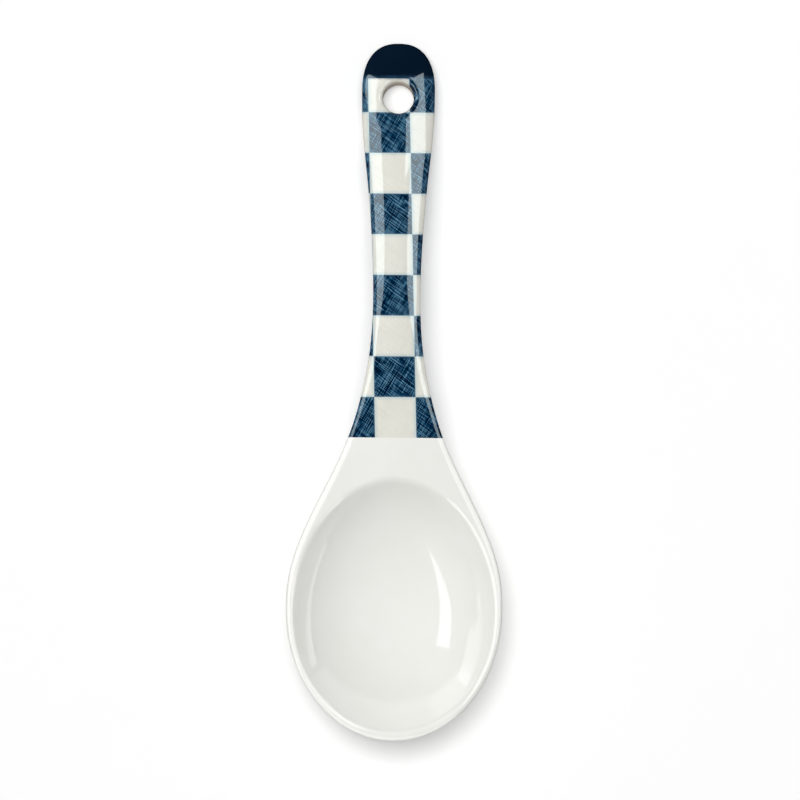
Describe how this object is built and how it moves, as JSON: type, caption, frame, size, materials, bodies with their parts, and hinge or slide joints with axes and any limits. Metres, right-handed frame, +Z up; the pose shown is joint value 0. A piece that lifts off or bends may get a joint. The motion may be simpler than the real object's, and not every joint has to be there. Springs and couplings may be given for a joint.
{
  "type": "serving spoon",
  "caption": "Glazed ceramic serving spoon with an egg-shaped white bowl, an arched blue-and-white checked handle, a navy end and a hanging hole.",
  "frame": {"origin": "on the table under the middle of the spoon's box", "axes": "+Y along the spoon towards the handle's end, +Z up out of the hollow, +X across"},
  "size_m": [0.0712, 0.23, 0.0205],
  "materials": {
    "clay": "dry fired clay",
    "white_glaze": "gloss white glaze",
    "print_white": "gloss off-white print ground",
    "print_blue": "gloss cross-hatched blue print",
    "navy_glaze": "gloss navy glaze"
  },
  "bodies": {
    "root": {"bowl": "clay", "handle": "clay", "handle_end": "clay", "bowl_glaze": "white_glaze", "transfer_ground": "print_white", "blue_checks": "print_blue", "navy_tip": "navy_glaze", "hole_glaze": "white_glaze"}
  },
  "joints": []
}
